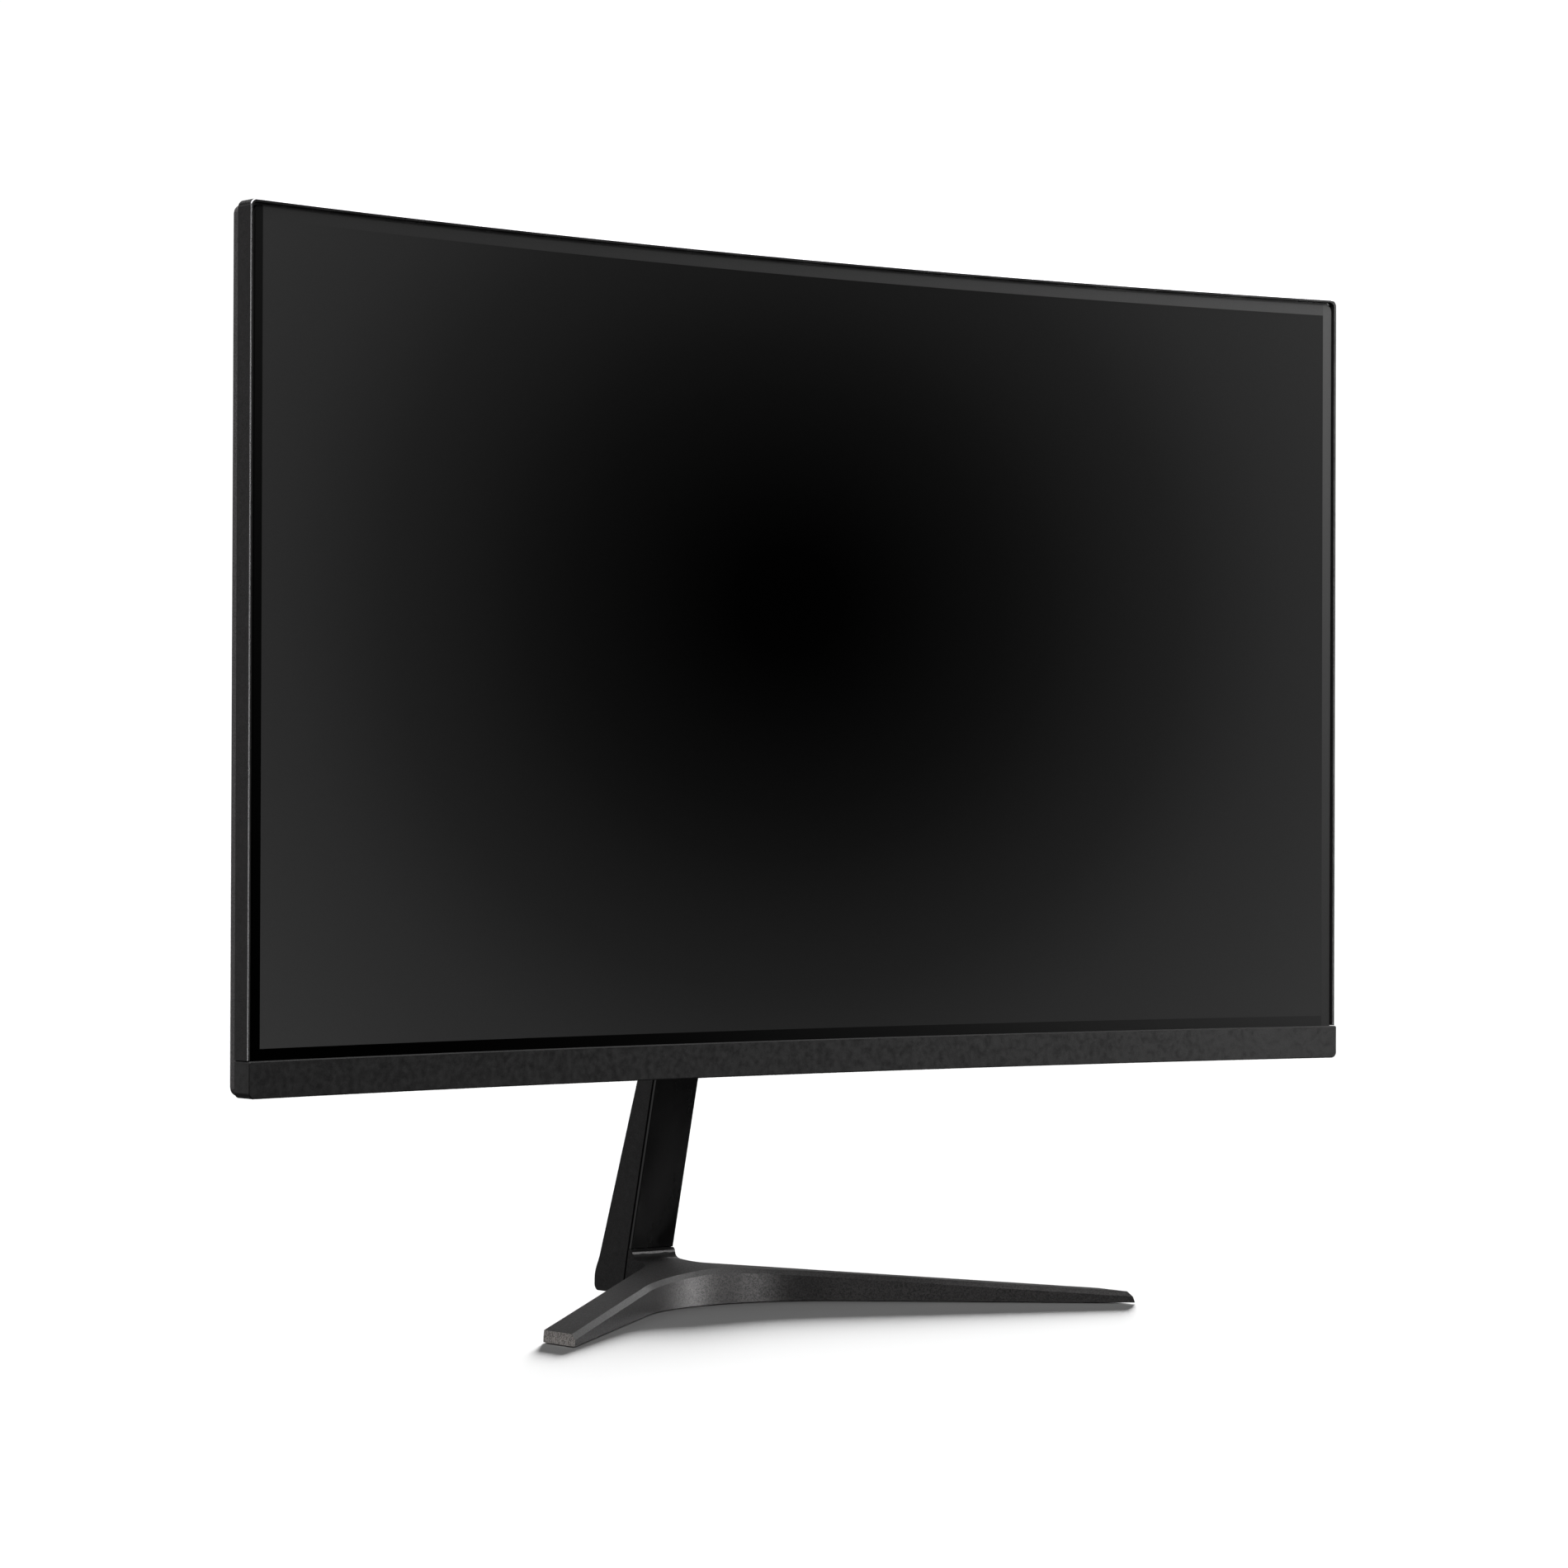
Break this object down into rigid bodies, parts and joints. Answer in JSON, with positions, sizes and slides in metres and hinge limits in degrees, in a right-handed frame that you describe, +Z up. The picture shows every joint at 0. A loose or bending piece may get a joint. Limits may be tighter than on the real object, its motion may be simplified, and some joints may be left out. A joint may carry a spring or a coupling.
{
  "type": "computer monitor",
  "caption": "Curved widescreen desktop monitor with a thin-rimmed dark screen, a slim chin, a leaning blade column and a low V-shaped base. It tilts on a friction hinge.",
  "frame": {"origin": "on the desk under the middle of the whole object's bounding box", "axes": "+Z up, +X to the viewer's right, -Y towards the viewer"},
  "size_m": [0.5312, 0.164, 0.4116],
  "materials": {
    "screen_film": "anti-glare, nearly black",
    "panel_glass": "smooth, dark",
    "frame_plastic": "satin black",
    "chin_plastic": "fine spark-eroded texture, black",
    "cover_plastic": "fine spark-eroded texture, black",
    "column_plastic": "fine texture, black",
    "column_gloss": "smooth, black",
    "base_paint": "grained metallic paint, dark warm grey",
    "foot_rubber": "matte",
    "key_plastic": "satin black",
    "lens_plastic": "translucent white",
    "socket_plastic": "satin black",
    "socket_steel": "nickel plated",
    "pin_brass": "nickel-washed brass",
    "bush_brass": "machined",
    "screw_black": "black oxide",
    "screw_steel": "zinc plated",
    "bracket_steel": "zinc coated sheet",
    "hinge_steel": "machined, oiled",
    "spring_steel": "blued",
    "chassis_steel": "galvanised sheet",
    "heat_aluminium": "extruded",
    "film_white": "white film",
    "guide_acrylic": "clear acrylic",
    "film_amber": "amber film",
    "board_green": "solder mask",
    "cable_white": "flat cable"
  },
  "bodies": {
    "stand": {"stand_base": "base_paint", "base_feet": "foot_rubber", "base_screw": "screw_steel", "column_rear_shell": "column_plastic", "column_front_plate": "column_gloss", "column_core": "bracket_steel", "plate_screws": "screw_steel", "hinge_bracket": "hinge_steel", "hinge_pin": "hinge_steel", "friction_washers": "hinge_steel", "disc_springs": "spring_steel", "hinge_nut": "hinge_steel", "hinge_cover": "column_plastic"},
    "head": {"front_polariser": "screen_film", "lcd_cell": "panel_glass", "mid_frame": "frame_plastic", "chin_strip": "chin_plastic", "prism_sheet": "film_white", "diffuser_sheet": "film_white", "light_guide": "guide_acrylic", "reflector_sheet": "film_white", "led_bar": "board_green", "heat_spreader": "heat_aluminium", "panel_chassis": "chassis_steel", "bonding_films": "film_amber", "source_boards": "board_green", "rear_cover": "cover_plastic", "cover_screws": "screw_black", "cover_posts": "screw_steel", "lock_plate": "bracket_steel", "main_board": "board_green", "power_board": "board_green", "board_standoffs": "screw_steel", "board_shields": "bracket_steel", "hdmi_sockets": "socket_steel", "displayport_socket": "socket_steel", "audio_socket": "socket_plastic", "mains_inlet": "socket_plastic", "mains_pins": "pin_brass", "mount_bracket": "bracket_steel", "vesa_bushes": "bush_brass", "panel_cable": "cable_white", "backlight_lead": "cable_white", "key_lead": "cable_white", "key_board": "board_green", "power_lens": "lens_plastic", "mount_plate": "bracket_steel", "mount_screws": "screw_black", "tilt_bracket": "hinge_steel", "bracket_screws": "screw_steel"},
    "menu_key_1": {"menu_key_1": "key_plastic"},
    "menu_key_2": {"menu_key_2": "key_plastic"},
    "menu_key_3": {"menu_key_3": "key_plastic"},
    "menu_key_4": {"menu_key_4": "key_plastic"},
    "power_key": {"power_key": "key_plastic"}
  },
  "joints": [
    {"name": "tilt", "type": "hinge", "parent": "stand", "child": "head", "pos_m": [0, 0.0202, 0.196], "axis": [-1, 0, 0], "range_deg": [-5, 20]},
    {"name": "menu_key_1_press", "type": "slide", "parent": "head", "child": "menu_key_1", "axis": [-0.1197, -0.9928, 0], "range_m": [0, 0.0005], "stiffness_N_per_m": 1200, "springref_m": -0.0003},
    {"name": "menu_key_2_press", "type": "slide", "parent": "head", "child": "menu_key_2", "axis": [-0.129, -0.9916, 0], "range_m": [0, 0.0005], "stiffness_N_per_m": 1200, "springref_m": -0.0003},
    {"name": "menu_key_3_press", "type": "slide", "parent": "head", "child": "menu_key_3", "axis": [-0.1382, -0.9904, 0], "range_m": [0, 0.0005], "stiffness_N_per_m": 1200, "springref_m": -0.0003},
    {"name": "menu_key_4_press", "type": "slide", "parent": "head", "child": "menu_key_4", "axis": [-0.1475, -0.9891, 0], "range_m": [0, 0.0005], "stiffness_N_per_m": 1200, "springref_m": -0.0003},
    {"name": "power_key_press", "type": "slide", "parent": "head", "child": "power_key", "axis": [-0.1593, -0.9872, 0], "range_m": [0, 0.0005], "stiffness_N_per_m": 1200, "springref_m": -0.0003}
  ]
}
